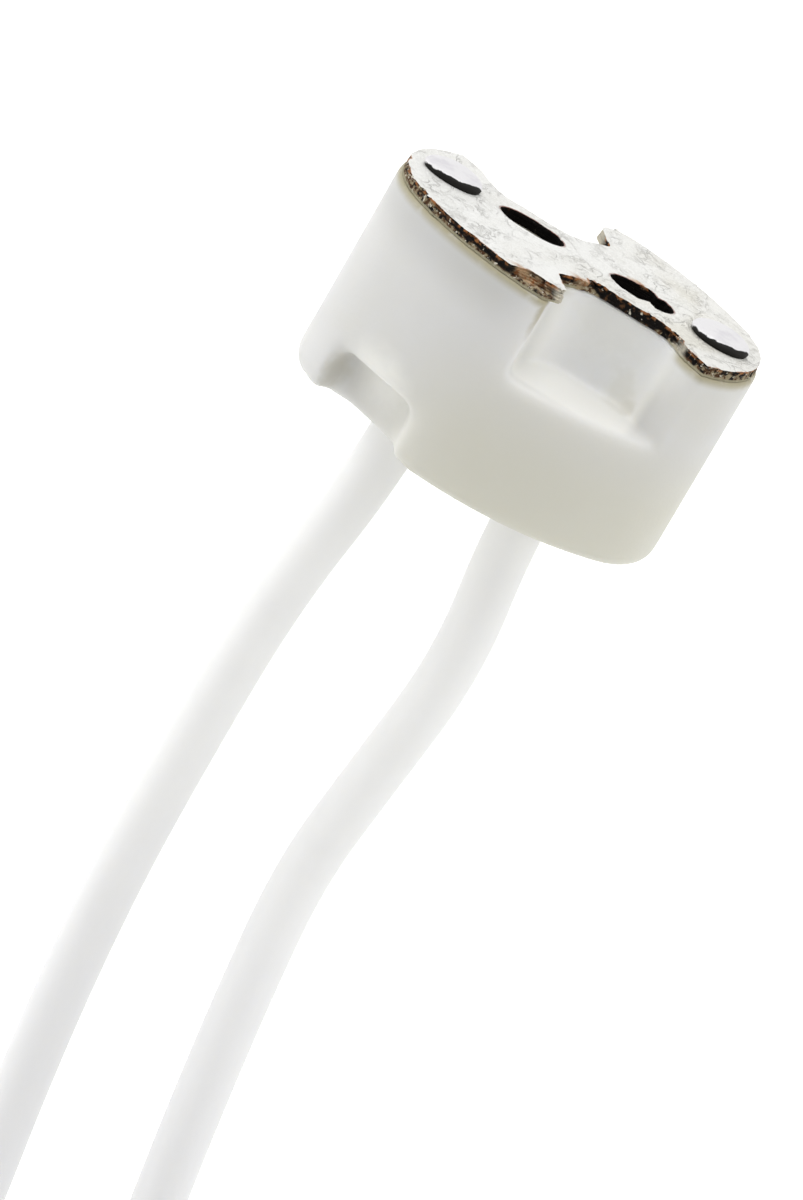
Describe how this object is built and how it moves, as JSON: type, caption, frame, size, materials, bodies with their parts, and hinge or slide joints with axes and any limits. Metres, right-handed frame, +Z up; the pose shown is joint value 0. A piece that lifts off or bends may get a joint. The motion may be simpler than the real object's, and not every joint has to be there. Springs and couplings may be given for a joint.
{
  "type": "lamp holder",
  "caption": "Ceramic low-voltage lamp holder: oval steatite body under a riveted mica plate with slotted pin openings, and two white silicone leads with bare ends.",
  "frame": {"origin": "centre of the two pin openings, on the cover plate's upper face", "axes": "+Z up through the openings, towards the lamp; +X through both openings; the leads hang along -Z"},
  "size_m": [0.0172, 0.0108, 0.1152],
  "materials": {
    "steatite": "satin",
    "mica": "satin",
    "rivet": "satin",
    "contact": "satin",
    "spring": "satin",
    "silicone": "satin",
    "tinned_copper": "satin"
  },
  "bodies": {
    "root": {"ceramic_body": "steatite", "cover_plate": "mica", "left_rivet": "rivet", "right_rivet": "rivet", "left_contact": "contact", "right_contact": "contact", "left_backing_spring": "spring", "right_backing_spring": "spring", "left_lead_sleeve": "silicone", "right_lead_sleeve": "silicone", "left_conductor": "tinned_copper", "right_conductor": "tinned_copper", "left_bare_end": "tinned_copper", "right_bare_end": "tinned_copper"}
  },
  "joints": []
}
